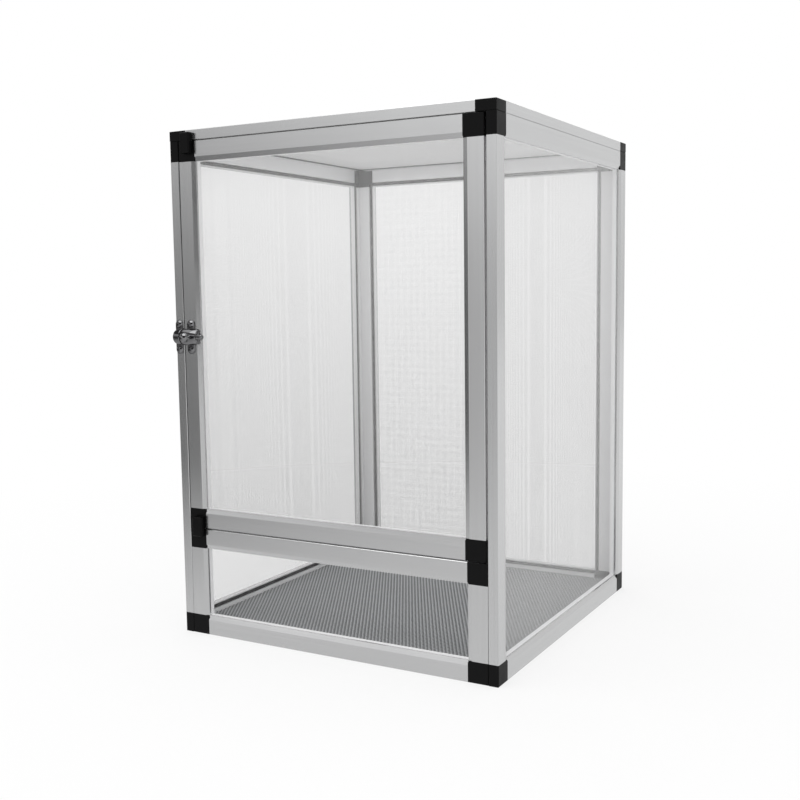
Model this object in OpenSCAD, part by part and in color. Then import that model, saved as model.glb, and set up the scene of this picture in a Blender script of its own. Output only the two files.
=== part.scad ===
// Screen cage for reptiles: six framed mesh panels and an open sill frame.
// Millimetres, +Z up. The front faces -Y. The origin lies on the ground, under the
// middle of the whole footprint, with the knob that stands out in front counted in.
// Every frame is cut from one extrusion: a hollow box with a bevelled inner edge on its
// outer face and a spline groove on its inner face. Black corner keys join the bars.

/* [Cage] */
// Width across the side panels
cage_w = 320; // [220:5:480]
// Depth from the door's face to the rear panel's face
cage_d = 320; // [220:5:480]
// Height from the ground to the top of the lid
cage_h = 460; // [300:5:700]
// Height of the fixed sill frame under the door
sill_h = 99.4; // [70:0.2:140]

/* [Extrusion] */
// Width of a bar, seen from its face
bar_w = 18; // [17:0.5:24]
// Thickness of a bar and of every panel
bar_t = 9; // [8:0.25:11]
// Wall of the hollow bar
bar_wall = 1; // [0.8:0.1:1.2]
// Chamfer of a bar's two outer edges
edge_c = 0.4; // [0.3:0.1:1]
// Chamfer of a corner key's outer edges
key_edge_c = 0.4; // [0.2:0.1:0.8]
// Width of the bevel along a bar's inner edge
bevel_w = 4; // [2:0.25:4.5]
// Drop of that bevel from the outer face
bevel_drop = 1.5; // [0.5:0.25:2]
// Width of the spline groove
groove_w = 3.6; // [3.2:0.1:4]
// Depth of the spline groove
groove_depth = 3.8; // [3.5:0.1:4.2]
// Width of the lip between the groove and the inner edge
lip_w = 1; // [0.8:0.1:1.3]
// Drop of the lip from the inner face
lip_drop = 1.1; // [1:0.1:1.4]

/* [Corner keys] */
// Length of a key's leg inside a bar
leg_len = 24; // [14:1:30]
// Play between a leg's ribs and the bar's chamber
leg_gap = 0.15; // [0.05:0.05:0.3]
// Depth of the gaps between a leg's ribs
flute = 0.5; // [0.2:0.1:0.8]
// Pitch of the ribs on a leg
rib_pitch = 4.8; // [4:0.2:8]
// Thickness of a rib
rib_t = 1.6; // [1:0.1:2]
// Chamfer of a key's corner that points into the opening
key_c = 1.5; // [0.5:0.25:2]

/* [Mesh and spline] */
// Distance between two wires of the mesh
mesh_pitch = 10; // [8:1:20]
// Diameter of a wire
wire_d = 0.8; // [0.5:0.1:0.9]
// Gap between the two layers of wires, and under them
wire_gap = 0.05; // [0.02:0.01:0.1]
// Diameter of the rubber spline
spline_d = 3.4; // [3:0.1:3.5]
// Distance that a cord stops short of the next one
spline_gap = 0.2; // [0.1:0.1:0.5]

/* [Panel gaps] */
// Gap between the side panels and what stands between them
side_gap = 0.2; // [0.1:0.05:0.5]
// Gap between the floor panel and the front and rear frames
floor_gap = 0.2; // [0.1:0.05:0.5]
// Gap between the lid and the panels that it covers
lid_gap = 0.1; // [0.05:0.05:0.3]
// Gap over the door
door_top_gap = 0.6; // [0.4:0.1:2]
// Gap under the door
door_bottom_gap = 1; // [0.8:0.1:2]
// Gap at the door's free edge
door_free_gap = 0.8; // [0.6:0.1:2]
// Gap at the door's hinged edge
door_hinge_gap = 1.8; // [1.7:0.1:3]

/* [Floor sheet] */
// Width of the floor sheet's hem
floor_hem = 2.5; // [2:0.5:6]
// Diameter of the floor sheet's wires
floor_wire_d = 0.6; // [0.4:0.1:0.6]

/* [Pegs and hinge pins] */
// Diameter of the pegs that join the panels
peg_d = 3; // [2:0.25:3.5]
// Length of a peg
peg_len = 12; // [8:0.5:13]
// Drop of the upper sill pegs from the crossbar's top, which clears the hinge pin
peg_drop = 13; // [12:0.25:14]
// Play around a peg
peg_play = 0.05; // [0.02:0.01:0.1]
// Diameter of the hinge pins
pin_d = 3; // [2:0.25:3.5]
// Depth of a hinge pin in the fixed key
pin_seat = 6; // [4:0.5:6.5]
// Depth of a hinge pin in the door's key
pin_reach = 8; // [5:0.5:10]
// Running play around a hinge pin
pin_play = 0.05; // [0.02:0.01:0.1]
// Diameter of the collar that the door turns on
collar_d = 6; // [5:0.5:7]

/* [Door stops] */
// Width of the two stops that keep the door from swinging inwards
stop_w = 10; // [6:0.5:12]
// Height of a stop
stop_h = 18; // [12:0.5:24]
// Thickness of a stop
stop_t = 5.8; // [3:0.1:8]
// How far a stop laps over the crossbar or the lid
stop_lap = 7.2; // [4:0.2:8]
// Distance from the door's free edge to a stop
stop_set = 5.8; // [3:0.2:7]
// Gap between a stop and what it laps over
stop_gap = 0.3; // [0.2:0.05:0.6]
// Chamfer of a stop's front edges
stop_c = 0.8; // [0.3:0.1:1.2]

/* [Bolt] */
// Height of the bolt above the middle of the door
bolt_rise = 1; // [-60:1:60]
// Distance of the rod's axis from the door's face
rod_out = 3.7; // [3.6:0.1:3.8]
// Diameter of the rod
rod_d = 4.8; // [4:0.1:4.9]
// Length of the rod
rod_len = 23; // [20:0.5:26]
// Running play around the rod in the barrel
rod_play = 0.1; // [0.05:0.01:0.1]
// Travel of the rod into the keeper
bolt_travel = 6.5; // [5:0.25:6.5]
// Width of the keeper's socket, which is open to the face behind it
socket_d = 5.4; // [5.2:0.1:5.6]
// Radius of the bolt's bulge at its thickest place
bulge_r = 7.8; // [7.6:0.1:7.9]
// Radius that the bulge tapers to at its ends
bulge_tip_r = 5.5; // [5.4:0.1:6]
// Length of the arc that the bulge follows
bulge_len = 28; // [27:0.5:29]
// Share of that arc, from its middle, where the barrel is cut off
bulge_cut = 0.9; // [0.85:0.01:0.95]
// Length of the bulge's bands
band = 2.6; // [1.5:0.1:4]
// Thickness of the bolt's feet
foot_t = 1; // [0.8:0.1:1.5]
// Width of the bolt's feet
foot_w = 8.4; // [8:0.1:8.6]
// Distance from the rod's axis to a screw
screw_pitch = 11.4; // [11.4:0.1:13]
// Diameter of a screw's domed head
screw_head_d = 6.8; // [5:0.1:6.8]
// Height of a screw's domed head
screw_head_h = 2; // [1.4:0.1:2.4]
// Diameter of a screw's shank
screw_d = 2.4; // [2:0.1:3]
// Length of a screw's shank under its head
screw_len = 6; // [4:0.5:7]
// Gap between the barrel's end and the door's free edge
barrel_set = 0.3; // [0.2:0.1:0.6]
// Distance of the rod's end from the barrel's mouth
rod_set = 0.2; // [0.1:0.1:0.5]
// Room behind the rod's end in the socket
socket_room = 0.8; // [0.5:0.1:1]
// Distance from the door's free edge to its two screws
foot_set = 7.8; // [7.4:0.1:8.4]
// Distance from the knob to the barrel's inner end
knob_set = 5; // [4:0.25:6]
// Diameter of the knob
knob_d = 9; // [7:0.25:10]
// Diameter of the knob's stem
stem_d = 2.6; // [2:0.1:3]
// Gap between the knob and the bulge
knob_gap = 2.2; // [0.5:0.1:2.6]

/* [Hidden] */
$fn = 32;
// How far a wire's end goes into the hem
sink = 0.3;
// Facets round a spline cord, and round the bolt's bulge
cord_sides = 16;
bulge_sides = 48;
// Room past the end of a peg, and past the end of a pin or screw
peg_room = 0.3;
pin_room = 0.4;
// How far a cut runs past the face that it opens
past = 1;
// The rod's rounded tail: its length, the length of its first cone, and two shares of rod_d
tail_len = 1.4;
tail_step = 0.8;
tail_share = 0.8;
tail_end_share = 0.4;

aluminium = [0.72, 0.73, 0.74];
black_plastic = [0.1, 0.1, 0.11];
wire_grey = [0.82, 0.83, 0.84];
rubber = [0.06, 0.06, 0.06];
chrome = [0.85, 0.86, 0.88];
steel = [0.6, 0.6, 0.62];

// Where things come along a bar's width, counted from its outer edge
lip_u = bar_w - lip_w;
groove_u = lip_u - groove_w;
spline_u = groove_u + groove_w / 2;
chamber_w = groove_u - 2 * bar_wall;
chamber_t = bar_t - 2 * bar_wall;
mesh_v = bar_t - lip_drop;

// Sizes of the panels
side_h = cage_h - bar_t - lid_gap;
inner_w = cage_w - 2 * bar_t;
between_w = inner_w - 2 * side_gap;
floor_d = cage_d - 2 * bar_t - 2 * floor_gap;
door_w = inner_w - door_free_gap - door_hinge_gap;
door_z = sill_h + door_bottom_gap;
door_h = cage_h - bar_t - door_top_gap - door_z;
door_left = -inner_w / 2 + door_free_gap;
door_right = inner_w / 2 - door_hinge_gap;

// The hinge axis stands half a bar's thickness in from the door's edge and face
hinge_x = door_right - bar_t / 2;
hinge_y = -cage_d / 2 + bar_t / 2;

// The bolt sits on the door's free stile, across the gap to the left side panel
keeper_right = -inner_w / 2 - side_gap;
barrel_left = door_left + barrel_set;
keeper_x = (keeper_right - cage_w / 2) / 2;
foot_x = door_left + foot_set;
bulge_x = -cage_w / 2 + bulge_len / 2;
barrel_tip = bulge_x + bulge_cut * bulge_len / 2;
rod_left = barrel_left + rod_set;
bolt_z = door_z + door_h / 2 + bolt_rise;
rod_y = -cage_d / 2 - rod_out;
knob_x = barrel_tip - knob_set;
reach = bulge_r + knob_gap + knob_d;
knob_y = -cage_d / 2 - reach + knob_d / 2;

// Everything is drawn round the middle of the cage and then moved back by this much
module cage() {
  translate([0, reach / 2, 0]) children();
}

// Outline of the extrusion: x runs from the outer to the inner edge, y from the outer face in
module bar_outline() {
  polygon([
    [0, edge_c], [edge_c, 0], [bar_w - bevel_w, 0], [bar_w, bevel_drop],
    [bar_w, mesh_v], [lip_u, mesh_v], [lip_u, bar_t - groove_depth],
    [groove_u, bar_t - groove_depth], [groove_u, bar_t], [edge_c, bar_t], [0, bar_t - edge_c]
  ]);
}

// Height of the bevel over the outer face at a distance u from the outer edge
function bevel_at(u) = max(0, bevel_drop * (u - bar_w + bevel_w) / bevel_w);

// The two hollows of the extrusion: the box and the small one under the groove
module bar_hollows() {
  translate([bar_wall, bar_wall]) square([chamber_w, chamber_t]);
  polygon([
    [groove_u, bevel_at(groove_u) + bar_wall], [lip_u, bevel_at(lip_u) + bar_wall],
    [lip_u, bar_t - groove_depth - bar_wall], [groove_u, bar_t - groove_depth - bar_wall]
  ]);
}

// A panel lies in the x-y plane with its outer face down at z = 0 and its corner at the origin
module bar_along_x(length) {
  translate([bar_w, 0, 0]) rotate([90, 0, 90]) linear_extrude(length - 2 * bar_w) difference() {
    bar_outline();
    bar_hollows();
  }
}

module bar_along_y(length) {
  translate([0, length - bar_w, 0]) rotate([90, 0, 0]) linear_extrude(length - 2 * bar_w)
    difference() {
      bar_outline();
      bar_hollows();
    }
}

module low_bar(w, h) {
  bar_along_x(w);
}

module high_bar(w, h) {
  translate([0, h, 0]) mirror([0, 1, 0]) bar_along_x(w);
}

module first_bar(w, h) {
  bar_along_y(h);
}

module last_bar(w, h) {
  translate([w, 0, 0]) mirror([1, 0, 0]) bar_along_y(h);
}

// Section of a corner key's block
module key_outline() {
  c = key_edge_c;
  polygon([[0, c], [c, 0], [bar_w, 0], [bar_w, bar_t], [c, bar_t], [0, bar_t - c]]);
}

// One leg of a key, along +x from the block: a slim core with ribs that fill the chamber
module key_leg(length) {
  rib_w = chamber_w - 2 * leg_gap;
  rib_h = chamber_t - 2 * leg_gap;
  translate([bar_w, bar_wall + leg_gap, bar_wall + leg_gap]) {
    translate([-bar_wall, flute, flute])
      cube([length + bar_wall, rib_w - 2 * flute, rib_h - 2 * flute]);
    for (x = [rib_pitch / 2 : rib_pitch : length - rib_t])
      translate([x, 0, 0]) cube([rib_t, rib_w, rib_h]);
  }
}

// Corner key with its block at the origin: the spline groove and the lip turn the corner in it
module corner_key(leg_x, leg_y) {
  difference() {
    intersection() {
      rotate([90, 0, 90]) linear_extrude(bar_w) key_outline();
      translate([0, bar_w, 0]) rotate([90, 0, 0]) linear_extrude(bar_w) key_outline();
      linear_extrude(bar_t) polygon([
        [0, 0], [bar_w, 0], [bar_w, bar_w - key_c], [bar_w - key_c, bar_w], [0, bar_w]
      ]);
    }
    translate([groove_u, groove_u, bar_t - groove_depth])
      cube([bar_w, groove_w, bar_t]);
    translate([groove_u, groove_u, bar_t - groove_depth])
      cube([groove_w, bar_w, bar_t]);
    translate([groove_u, groove_u, mesh_v]) cube([bar_w, bar_w, bar_t]);
  }
  key_leg(leg_x);
  mirror([1, -1, 0]) key_leg(leg_y);
}

// Four keys whose legs never meet inside a short bar
module corner_keys(w, h) {
  leg_x = min(leg_len, w / 2 - bar_w - 1);
  leg_y = min(leg_len, h / 2 - bar_w - 1);
  for (s = [0, 1], t = [0, 1])
    translate([s * w, t * h, 0]) mirror([s, 0, 0]) mirror([0, t, 0]) corner_key(leg_x, leg_y);
}

// Screen over w x h that starts this far from the panel's edges and this high over its face:
// a hem all round, and two layers of wires that end in it
module screen(w, h, start, low, hem, d) {
  hem_t = 2 * d + 3 * wire_gap;
  ends = start + hem - sink;
  count_x = floor((w - 2 * ends) / mesh_pitch);
  count_y = floor((h - 2 * ends) / mesh_pitch);
  first_x = (w - (count_x - 1) * mesh_pitch) / 2;
  first_y = (h - (count_y - 1) * mesh_pitch) / 2;
  translate([0, 0, low]) {
    difference() {
      translate([start, start, 0]) cube([w - 2 * start, h - 2 * start, hem_t]);
      translate([start + hem, start + hem, -1])
        cube([w - 2 * start - 2 * hem, h - 2 * start - 2 * hem, hem_t + 2]);
    }
    for (i = [0 : count_x - 1])
      translate([first_x + i * mesh_pitch, ends, wire_gap + d / 2])
        rotate([-90, 0, 0]) cylinder(d = d, h = h - 2 * ends, $fn = cord_sides);
    for (j = [0 : count_y - 1])
      translate([ends, first_y + j * mesh_pitch, 2 * wire_gap + 1.5 * d])
        rotate([0, 90, 0]) cylinder(d = d, h = w - 2 * ends, $fn = cord_sides);
  }
}

// A panel's screen lies on the lips of its bars
module panel_mesh(w, h) {
  screen(w, h, lip_u, mesh_v, lip_w, wire_d);
}

// Four lengths of rubber cord in the grooves, the upright ones between the level ones
module panel_spline(w, h) {
  v = bar_t - groove_depth + spline_d / 2;
  short = spline_u + spline_d / 2 + spline_gap;
  for (y = [spline_u, h - spline_u])
    translate([groove_u + spline_gap, y, v])
      rotate([0, 90, 0]) cylinder(d = spline_d, h = w - 2 * groove_u - 2 * spline_gap);
  for (x = [spline_u, w - spline_u])
    translate([x, short, v]) rotate([-90, 0, 0]) cylinder(d = spline_d, h = h - 2 * short);
}

// Places of the panels: each takes a panel that lies flat and stands it where it belongs
module on_left() {
  translate([-cage_w / 2, -cage_d / 2, 0]) rotate([90, 0, 90]) children();
}

module on_right() {
  mirror([1, 0, 0]) on_left() children();
}

module on_rear() {
  translate([-between_w / 2, cage_d / 2, 0]) rotate([90, 0, 0]) children();
}

module on_lid() {
  translate([-cage_w / 2, -cage_d / 2, cage_h]) mirror([0, 0, 1]) children();
}

module on_floor() {
  translate([-between_w / 2, -floor_d / 2, 0]) children();
}

module on_sill() {
  translate([-between_w / 2, -cage_d / 2, 0]) mirror([0, 1, 0]) rotate([90, 0, 0]) children();
}

module on_door() {
  translate([door_left, -cage_d / 2, door_z]) mirror([0, 1, 0]) rotate([90, 0, 0]) children();
}

// Block w wide and t thick whose front edges along z are chamfered
module chamfered_bar(w, t, c, length) {
  linear_extrude(length) polygon([[0, 0], [0, -t + c], [c, -t], [w - c, -t], [w, -t + c], [w, 0]]);
}

// Stop on the door's face, from y = 0 forward, whose upper part laps over the door's edge
module door_stop() {
  difference() {
    intersection() {
      chamfered_bar(stop_w, stop_t, stop_c, stop_h);
      translate([0, 0, stop_h]) rotate([0, 90, 0]) chamfered_bar(stop_h, stop_t, stop_c, stop_w);
    }
    translate([-past, -stop_gap, stop_h - stop_lap]) cube([stop_w + 2 * past, past, stop_lap + past]);
  }
}

// A peg along x whose middle is where the two panels meet, on both sides of the cage
module side_peg(y, z, d, extra) {
  for (s = [-1, 1])
    translate([s * inner_w / 2, y, z])
      rotate([0, 90, 0]) cylinder(d = d, h = peg_len + 2 * extra, center = true);
}

// The pegs that join the panels, or with play and depth to spare the holes for them
module pegs(play, extra) {
  d = peg_d + 2 * play;
  edge_y = cage_d / 2 - bar_t / 2;
  for (s = [-1, 1], t = [-1, 1])
    translate([s * (cage_w - bar_t) / 2, t * (cage_d - bar_w) / 2, cage_h - bar_t])
      cylinder(d = d, h = peg_len + 2 * extra, center = true);
  for (z = [bar_w / 2, side_h - bar_w / 2]) side_peg(edge_y, z, d, extra);
  for (z = [bar_w / 2, sill_h - peg_drop]) side_peg(-edge_y, z, d, extra);
  for (t = [-1, 1]) side_peg(t * (cage_d / 2 - bar_w + peg_d + bar_wall), bar_t / 2, d, extra);
}

module peg_holes() {
  pegs(peg_play, peg_room);
}

// Shanks of the hinge pins, with play for their holes
module upper_pin_shank(play, extra) {
  translate([hinge_x, hinge_y, door_z + door_h - pin_reach - extra])
    cylinder(d = pin_d + 2 * play, h = pin_reach + door_top_gap + pin_seat + 2 * extra);
}

module lower_pin_shank(play, extra) {
  translate([hinge_x, hinge_y, sill_h - pin_seat - extra])
    cylinder(d = pin_d + 2 * play, h = pin_seat + door_bottom_gap + pin_reach + 2 * extra);
}

module pin_holes() {
  upper_pin_shank(pin_play, pin_room);
  lower_pin_shank(pin_play, pin_room);
}

// Shanks of the two screws of one foot
module screw_shanks(x, d, extra) {
  for (s = [-1, 1])
    translate([x, -cage_d / 2 - foot_t - extra, bolt_z + s * screw_pitch])
      rotate([-90, 0, 0]) cylinder(d = d, h = screw_len + 2 * extra);
}

// Domed heads as caps of a ball, on top of the foot
module screws(x) {
  ball_r = (pow(screw_head_d / 2, 2) + pow(screw_head_h, 2)) / (2 * screw_head_h);
  screw_shanks(x, screw_d, 0);
  for (s = [-1, 1])
    translate([x, -cage_d / 2 - foot_t, bolt_z + s * screw_pitch]) rotate([90, 0, 0])
      intersection() {
        translate([0, 0, screw_head_h - ball_r]) sphere(r = ball_r);
        cylinder(d = screw_head_d + past, h = screw_head_h + past);
      }
}

module screw_holes(x) {
  screw_shanks(x, screw_d + 2 * peg_play, pin_room);
}

// Upright foot with round ends, flat on the face behind it
module foot(x) {
  translate([x, -cage_d / 2, bolt_z]) rotate([90, 0, 0]) linear_extrude(foot_t) {
    square([foot_w, 2 * screw_pitch], center = true);
    for (s = [-1, 1]) translate([0, s * screw_pitch]) circle(d = foot_w);
  }
}

// Radius of the bulge at x: an arc that is flattest over its thickest place
function bulge_at(x) = let(t = 2 * (x - bulge_x) / bulge_len)
  bulge_tip_r + (bulge_r - bulge_tip_r) * sqrt(max(0, 1 - t * t));

// Half round body of the bolt between x0 and x1, flat on the face behind it
module bulge(x0, x1) {
  steps = ceil((x1 - x0) / band);
  translate([0, -cage_d / 2, bolt_z]) rotate([0, 90, 0]) rotate([0, 0, 180])
    rotate_extrude(angle = 180, $fn = bulge_sides) polygon(concat([[0, x0]],
      [for (i = [0 : steps]) let(x = x0 + (x1 - x0) * i / steps) [bulge_at(x), x]], [[0, x1]]));
}

module left_front_stile() {
  color(aluminium) cage() difference() {
    on_left() first_bar(cage_d, side_h);
    peg_holes();
    screw_holes(keeper_x);
  }
}

module left_rear_stile() {
  color(aluminium) cage() on_left() last_bar(cage_d, side_h);
}

module left_top_rail() {
  color(aluminium) cage() on_left() high_bar(cage_d, side_h);
}

module left_bottom_rail() {
  color(aluminium) cage() on_left() low_bar(cage_d, side_h);
}

module left_corner_keys() {
  color(black_plastic) cage() difference() {
    on_left() corner_keys(cage_d, side_h);
    peg_holes();
  }
}

module left_mesh() {
  color(wire_grey) cage() on_left() panel_mesh(cage_d, side_h);
}

module left_spline() {
  color(rubber) cage() on_left() panel_spline(cage_d, side_h);
}

module right_front_stile() {
  color(aluminium) cage() difference() {
    on_right() first_bar(cage_d, side_h);
    peg_holes();
  }
}

module right_rear_stile() {
  color(aluminium) cage() on_right() last_bar(cage_d, side_h);
}

module right_top_rail() {
  color(aluminium) cage() on_right() high_bar(cage_d, side_h);
}

module right_bottom_rail() {
  color(aluminium) cage() on_right() low_bar(cage_d, side_h);
}

module right_corner_keys() {
  color(black_plastic) cage() difference() {
    on_right() corner_keys(cage_d, side_h);
    peg_holes();
  }
}

module right_mesh() {
  color(wire_grey) cage() on_right() panel_mesh(cage_d, side_h);
}

module right_spline() {
  color(rubber) cage() on_right() panel_spline(cage_d, side_h);
}

module rear_left_stile() {
  color(aluminium) cage() on_rear() first_bar(between_w, side_h);
}

module rear_right_stile() {
  color(aluminium) cage() on_rear() last_bar(between_w, side_h);
}

module rear_top_rail() {
  color(aluminium) cage() on_rear() high_bar(between_w, side_h);
}

module rear_bottom_rail() {
  color(aluminium) cage() on_rear() low_bar(between_w, side_h);
}

module rear_corner_keys() {
  color(black_plastic) cage() difference() {
    on_rear() corner_keys(between_w, side_h);
    peg_holes();
  }
}

module rear_mesh() {
  color(wire_grey) cage() on_rear() panel_mesh(between_w, side_h);
}

module rear_spline() {
  color(rubber) cage() on_rear() panel_spline(between_w, side_h);
}

module lid_left_rail() {
  color(aluminium) cage() on_lid() first_bar(cage_w, cage_d);
}

module lid_right_rail() {
  color(aluminium) cage() on_lid() last_bar(cage_w, cage_d);
}

module lid_front_rail() {
  color(aluminium) cage() on_lid() low_bar(cage_w, cage_d);
}

module lid_rear_rail() {
  color(aluminium) cage() on_lid() high_bar(cage_w, cage_d);
}

module lid_corner_keys() {
  color(black_plastic) cage() difference() {
    on_lid() corner_keys(cage_w, cage_d);
    peg_holes();
    upper_pin_shank(pin_play, pin_room);
  }
}

module lid_mesh() {
  color(wire_grey) cage() on_lid() panel_mesh(cage_w, cage_d);
}

module lid_spline() {
  color(rubber) cage() on_lid() panel_spline(cage_w, cage_d);
}

module floor_left_rail() {
  color(aluminium) cage() on_floor() first_bar(between_w, floor_d);
}

module floor_right_rail() {
  color(aluminium) cage() on_floor() last_bar(between_w, floor_d);
}

module floor_front_rail() {
  color(aluminium) cage() on_floor() low_bar(between_w, floor_d);
}

module floor_rear_rail() {
  color(aluminium) cage() on_floor() high_bar(between_w, floor_d);
}

module floor_corner_keys() {
  color(black_plastic) cage() difference() {
    on_floor() corner_keys(between_w, floor_d);
    peg_holes();
  }
}

// The floor sheet lies on its frame and reaches all four walls
module floor_sheet() {
  color(wire_grey) cage() on_floor() screen(between_w, floor_d, 0, bar_t, floor_hem, floor_wire_d);
}

module sill_left_post() {
  color(aluminium) cage() on_sill() first_bar(between_w, sill_h);
}

module sill_right_post() {
  color(aluminium) cage() on_sill() last_bar(between_w, sill_h);
}

module sill_crossbar() {
  color(aluminium) cage() on_sill() high_bar(between_w, sill_h);
}

module sill_bottom_rail() {
  color(aluminium) cage() on_sill() low_bar(between_w, sill_h);
}

module sill_corner_keys() {
  color(black_plastic) cage() difference() {
    on_sill() corner_keys(between_w, sill_h);
    peg_holes();
    lower_pin_shank(pin_play, pin_room);
  }
}

module door_latch_stile() {
  color(aluminium) cage() difference() {
    on_door() first_bar(door_w, door_h);
    screw_holes(foot_x);
  }
}

module door_hinge_stile() {
  color(aluminium) cage() on_door() last_bar(door_w, door_h);
}

module door_top_rail() {
  color(aluminium) cage() on_door() high_bar(door_w, door_h);
}

module door_bottom_rail() {
  color(aluminium) cage() on_door() low_bar(door_w, door_h);
}

module door_corner_keys() {
  color(black_plastic) cage() difference() {
    on_door() corner_keys(door_w, door_h);
    pin_holes();
  }
}

module door_mesh() {
  color(wire_grey) cage() on_door() panel_mesh(door_w, door_h);
}

module door_spline() {
  color(rubber) cage() on_door() panel_spline(door_w, door_h);
}

module door_stops() {
  color(black_plastic) cage() translate([door_left + stop_set, -cage_d / 2, 0]) {
    translate([0, 0, door_z + door_h + stop_lap - stop_h]) door_stop();
    translate([0, 0, door_z - stop_lap + stop_h]) mirror([0, 0, 1]) door_stop();
  }
}

module frame_pegs() {
  color(steel) cage() pegs(0, 0);
}

module upper_hinge_pin() {
  color(steel) cage() upper_pin_shank(0, 0);
}

// The door's weight turns on the collar between its lower key and the crossbar's key
module lower_hinge_pin() {
  color(steel) cage() {
    lower_pin_shank(0, 0);
    translate([hinge_x, hinge_y, sill_h]) cylinder(d = collar_d, h = door_bottom_gap - pin_play);
  }
}

module bolt_keeper() {
  color(chrome) cage() difference() {
    union() {
      bulge(-cage_w / 2, keeper_right);
      foot(keeper_x);
    }
    translate([rod_left - bolt_travel - socket_room, rod_y - socket_d / 2, bolt_z - socket_d / 2])
      cube([2 * bolt_travel, rod_out + socket_d, socket_d]);
    screw_holes(keeper_x);
  }
}

module keeper_screws() {
  color(chrome) cage() screws(keeper_x);
}

// Guide of the rod, with the slot that the knob's stem runs in
module bolt_barrel() {
  color(chrome) cage() difference() {
    union() {
      bulge(barrel_left, barrel_tip);
      foot(foot_x);
    }
    translate([barrel_left - past, rod_y, bolt_z]) rotate([0, 90, 0])
      cylinder(d = rod_d + 2 * rod_play, h = barrel_tip - barrel_left + 2 * past);
    translate([knob_x - bolt_travel - stem_d / 2 - rod_play, -cage_d / 2 - reach,
      bolt_z - stem_d / 2 - rod_play])
      cube([bolt_travel + stem_d + 2 * rod_play, reach - rod_out, stem_d + 2 * rod_play]);
    screw_holes(foot_x);
  }
}

module barrel_screws() {
  color(chrome) cage() screws(foot_x);
}

module bolt_rod() {
  color(chrome) cage() difference() {
    translate([rod_left, rod_y, bolt_z]) rotate([0, 90, 0]) {
      cylinder(d = rod_d, h = rod_len - tail_len);
      translate([0, 0, rod_len - tail_len])
        cylinder(d1 = rod_d, d2 = rod_d * tail_share, h = tail_step);
      translate([0, 0, rod_len - tail_len + tail_step])
        cylinder(d1 = rod_d * tail_share, d2 = rod_d * tail_end_share, h = tail_len - tail_step);
    }
    translate([knob_x, rod_y, bolt_z]) rotate([90, 0, 0])
      cylinder(d = stem_d + 2 * peg_play, h = rod_d);
  }
}

// Ball knob whose stem is screwed into the rod
module bolt_knob() {
  color(chrome) cage() {
    translate([knob_x, rod_y, bolt_z]) rotate([90, 0, 0])
      cylinder(d = stem_d, h = rod_y - knob_y);
    translate([knob_x, knob_y, bolt_z]) sphere(d = knob_d);
  }
}

left_front_stile();
left_rear_stile();
left_top_rail();
left_bottom_rail();
left_corner_keys();
left_mesh();
left_spline();
right_front_stile();
right_rear_stile();
right_top_rail();
right_bottom_rail();
right_corner_keys();
right_mesh();
right_spline();
rear_left_stile();
rear_right_stile();
rear_top_rail();
rear_bottom_rail();
rear_corner_keys();
rear_mesh();
rear_spline();
lid_left_rail();
lid_right_rail();
lid_front_rail();
lid_rear_rail();
lid_corner_keys();
lid_mesh();
lid_spline();
floor_left_rail();
floor_right_rail();
floor_front_rail();
floor_rear_rail();
floor_corner_keys();
floor_sheet();
sill_left_post();
sill_right_post();
sill_crossbar();
sill_bottom_rail();
sill_corner_keys();
door_latch_stile();
door_hinge_stile();
door_top_rail();
door_bottom_rail();
door_corner_keys();
door_mesh();
door_spline();
door_stops();
frame_pegs();
upper_hinge_pin();
lower_hinge_pin();
bolt_keeper();
keeper_screws();
bolt_barrel();
barrel_screws();
bolt_rod();
bolt_knob();
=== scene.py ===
# The looks of a screen cage: wire screens pressed into their grooves, ribbed spline, drawn
# aluminium bars, moulded corner keys and a chrome slide bolt. Pieces are shaped in
# millimetres, in the place they have in the cage, and brought to metres when finished.
import math

import bmesh
import bpy
from mathutils import Matrix, Vector


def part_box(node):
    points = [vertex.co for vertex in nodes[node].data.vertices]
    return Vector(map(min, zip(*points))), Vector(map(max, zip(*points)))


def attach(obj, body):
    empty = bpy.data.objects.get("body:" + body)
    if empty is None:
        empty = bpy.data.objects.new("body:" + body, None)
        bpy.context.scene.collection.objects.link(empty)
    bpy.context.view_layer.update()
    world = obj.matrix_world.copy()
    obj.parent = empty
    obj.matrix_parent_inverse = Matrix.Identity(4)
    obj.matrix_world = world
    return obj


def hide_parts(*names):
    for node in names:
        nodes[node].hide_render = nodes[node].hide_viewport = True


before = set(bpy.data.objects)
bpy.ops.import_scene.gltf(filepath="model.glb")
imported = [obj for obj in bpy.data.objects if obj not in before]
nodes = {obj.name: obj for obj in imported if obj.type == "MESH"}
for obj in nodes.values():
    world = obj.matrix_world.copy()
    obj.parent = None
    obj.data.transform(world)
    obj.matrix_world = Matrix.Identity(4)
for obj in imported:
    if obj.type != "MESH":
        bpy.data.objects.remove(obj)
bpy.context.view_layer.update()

MM = 0.001

# Sizes of the source

BAR_T = 9.0             # thickness of a panel
LIP_U = 17.0            # outer edge of a bar to the edge the screen lies on
GROOVE_U = 13.4         # outer edge of a bar to the far wall of its groove
GROOVE_V = 5.2          # face of a bar to the floor of its groove
SCREEN_V = 7.9          # face of a bar to the step the screen lies on
INNER = 8.8 * MM        # top and foot of the cage to just outside the bars' inner faces
EDGE_BACK = 3.5 * MM    # a wall's face to the part of a bar's edge that lies behind the bevel

LOOSE = 0.0005          # corners of a shape that are closer than this become one
KEY_SOFT = 0.25         # rounding of the moulded keys' edges

SCREEN_PITCH = 0.67     # from one wire of a screen to the next
DOOR_PITCH = 0.75
WIRE_SHARE = 0.155      # a wire's thickness, as a share of the pitch
UPPER_LAYER = 1.7       # step of the frame to the middle of the upper wires, in wires
HOOK = 2.0              # how far a wire's end goes down beside the spline
FLOOR_EDGE = 0.3        # room between the floor mesh and the walls
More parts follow.
